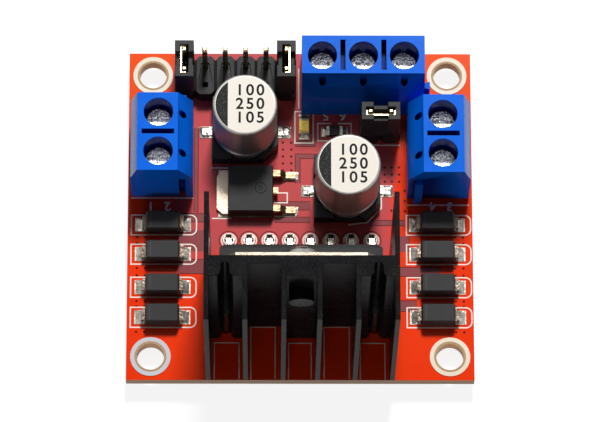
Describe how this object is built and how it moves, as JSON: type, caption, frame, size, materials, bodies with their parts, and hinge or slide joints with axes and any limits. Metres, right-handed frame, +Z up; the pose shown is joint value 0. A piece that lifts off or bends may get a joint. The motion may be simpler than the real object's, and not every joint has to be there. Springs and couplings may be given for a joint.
{
  "type": "dc motor driver module",
  "caption": "Square dual motor driver board with finned heatsink, driver chip, blue screw terminals, control header with jumper caps, capacitors and diodes.",
  "frame": {"origin": "centre of the four mounting holes, on the underside of the board", "axes": "+X to the right with the heatsink in front, +Y to the back towards the header and the power terminals, +Z up out of the component side of the board"},
  "size_m": [0.043, 0.043, 0.0282],
  "materials": {
    "board_laminate": "glossy red solder mask over fibreglass",
    "tinned_copper": "tinned, satin",
    "solder": "shiny solder",
    "anodised_aluminium": "black anodised, glossy",
    "tinned_steel": "tin plated",
    "nickel_plate": "nickel plated",
    "chip_plastic": "matt moulding compound",
    "tab_metal": "tin plated, satin",
    "can_aluminium": "drawn, satin",
    "black_plastic": "glass-filled nylon",
    "led_resin": "clear yellowish resin",
    "led_base": "pale laminate",
    "resistor_glaze": "black glaze",
    "gold_plate": "gold flash",
    "clip_brass": "phosphor bronze",
    "blue_plastic": "glossy nylon",
    "zinc_plate": "zinc plated"
  },
  "bodies": {
    "root": {"circuit_board": "board_laminate", "mounting_rings": "tinned_copper", "surface_pads": "tinned_copper", "underside_solder": "solder", "heatsink": "anodised_aluminium", "heatsink_pins": "tinned_steel", "heatsink_screw": "nickel_plate", "driver_chip_body": "chip_plastic", "driver_chip_tab": "tab_metal", "driver_chip_leads": "tinned_steel", "rear_capacitor_can": "can_aluminium", "rear_capacitor_base": "black_plastic", "rear_capacitor_leads": "tinned_steel", "front_capacitor_can": "can_aluminium", "front_capacitor_base": "black_plastic", "front_capacitor_leads": "tinned_steel", "regulator_body": "chip_plastic", "regulator_tab": "tab_metal", "regulator_leads": "tinned_steel", "left_diode_1": "chip_plastic", "left_diode_2": "chip_plastic", "left_diode_3": "chip_plastic", "left_diode_4": "chip_plastic", "right_diode_1": "chip_plastic", "right_diode_2": "chip_plastic", "right_diode_3": "chip_plastic", "right_diode_4": "chip_plastic", "left_diode_leads": "tinned_steel", "right_diode_leads": "tinned_steel", "led_lens": "led_resin", "led_base": "led_base", "resistor_body": "resistor_glaze", "resistor_ends": "tinned_steel", "control_header_housing": "black_plastic", "control_header_pins": "gold_plate", "supply_header_housing": "black_plastic", "supply_header_pins": "gold_plate", "left_jumper_cap": "black_plastic", "right_jumper_cap": "black_plastic", "supply_jumper_cap": "black_plastic", "left_jumper_clip": "clip_brass", "right_jumper_clip": "clip_brass", "supply_jumper_clip": "clip_brass", "power_terminal_housing": "blue_plastic", "power_terminal_cages": "zinc_plate", "power_terminal_screws": "zinc_plate", "power_terminal_strips": "tinned_copper", "left_terminal_housing": "blue_plastic", "left_terminal_cages": "zinc_plate", "left_terminal_screws": "zinc_plate", "left_terminal_strips": "tinned_copper", "right_terminal_housing": "blue_plastic", "right_terminal_cages": "zinc_plate", "right_terminal_screws": "zinc_plate", "right_terminal_strips": "tinned_copper"}
  },
  "joints": []
}
